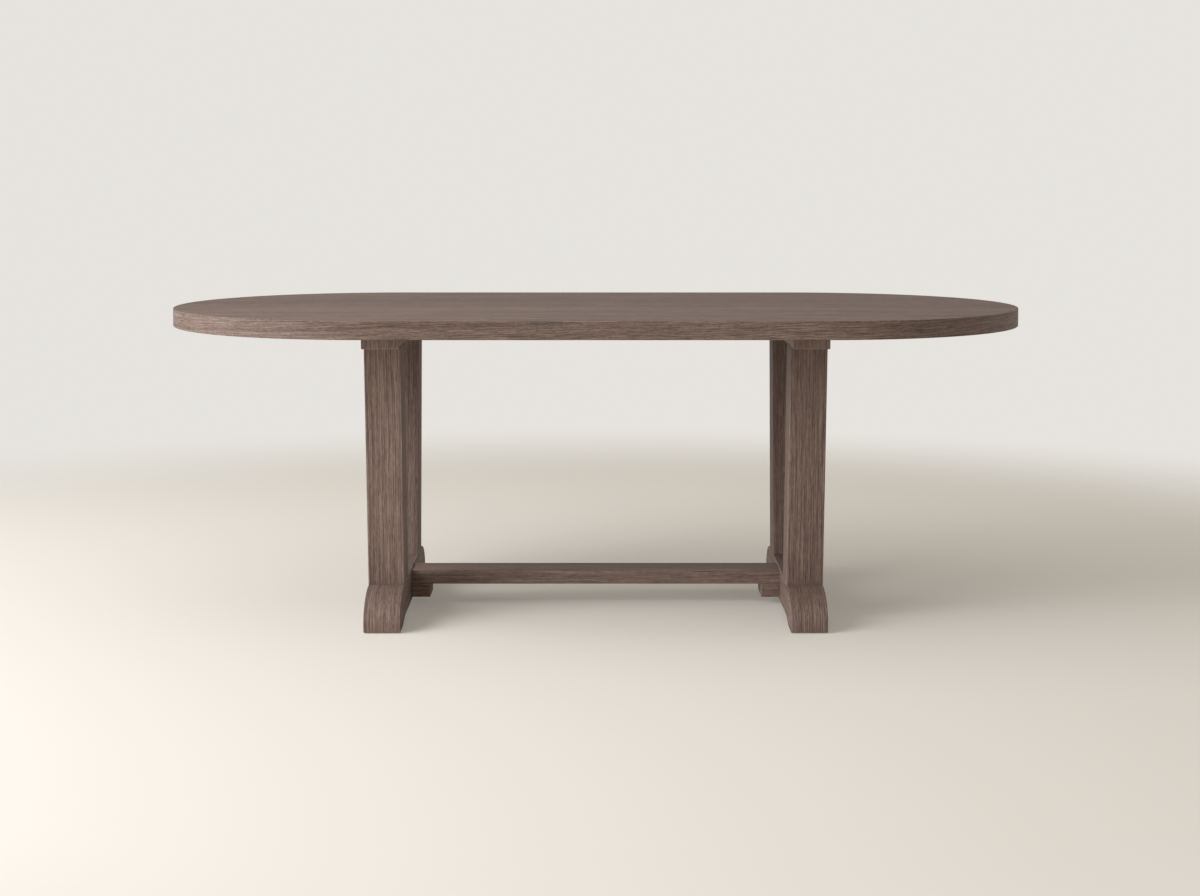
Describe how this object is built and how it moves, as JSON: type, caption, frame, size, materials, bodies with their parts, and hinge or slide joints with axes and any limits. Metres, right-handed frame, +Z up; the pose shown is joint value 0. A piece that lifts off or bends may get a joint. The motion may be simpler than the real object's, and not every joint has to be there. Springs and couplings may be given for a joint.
{
  "type": "oval dining table",
  "caption": "Racetrack-shaped dining table top on a pair of trestles with inward-leaning legs, rounded shoe feet and a low flat stretcher.",
  "frame": {"origin": "on the floor, under the middle of the top", "axes": "+X along the length of the top, +Y from the front long side to the back, +Z up"},
  "size_m": [2.1339, 1.067, 0.762],
  "materials": {
    "stained_oak": "open-grain oak, grey-brown stain, matt lacquer",
    "oak_veneer": "straight-grained oak veneer, grey-brown stain, matt lacquer",
    "core_board": "raw fibreboard",
    "plated_steel": "zinc plated",
    "insert_brass": "turned",
    "dowel_beech": "raw",
    "glide_nylon": "moulded, dark brown"
  },
  "bodies": {
    "root": {"top_core": "core_board", "face_veneer": "oak_veneer", "backing_veneer": "oak_veneer", "front_edge_band": "stained_oak", "back_edge_band": "stained_oak", "left_edge_band": "stained_oak", "right_edge_band": "stained_oak", "left_bearer": "stained_oak", "right_bearer": "stained_oak", "left_front_leg": "stained_oak", "left_back_leg": "stained_oak", "right_front_leg": "stained_oak", "right_back_leg": "stained_oak", "left_foot_rail": "stained_oak", "right_foot_rail": "stained_oak", "stretcher": "stained_oak", "left_stretcher_block": "stained_oak", "right_stretcher_block": "stained_oak", "top_bolts": "plated_steel", "top_washers": "plated_steel", "top_inserts": "insert_brass", "stretcher_bolts": "plated_steel", "stretcher_washers": "plated_steel", "stretcher_inserts": "insert_brass", "block_dowels": "dowel_beech", "floor_glides": "glide_nylon", "glide_screws": "plated_steel"}
  },
  "joints": []
}
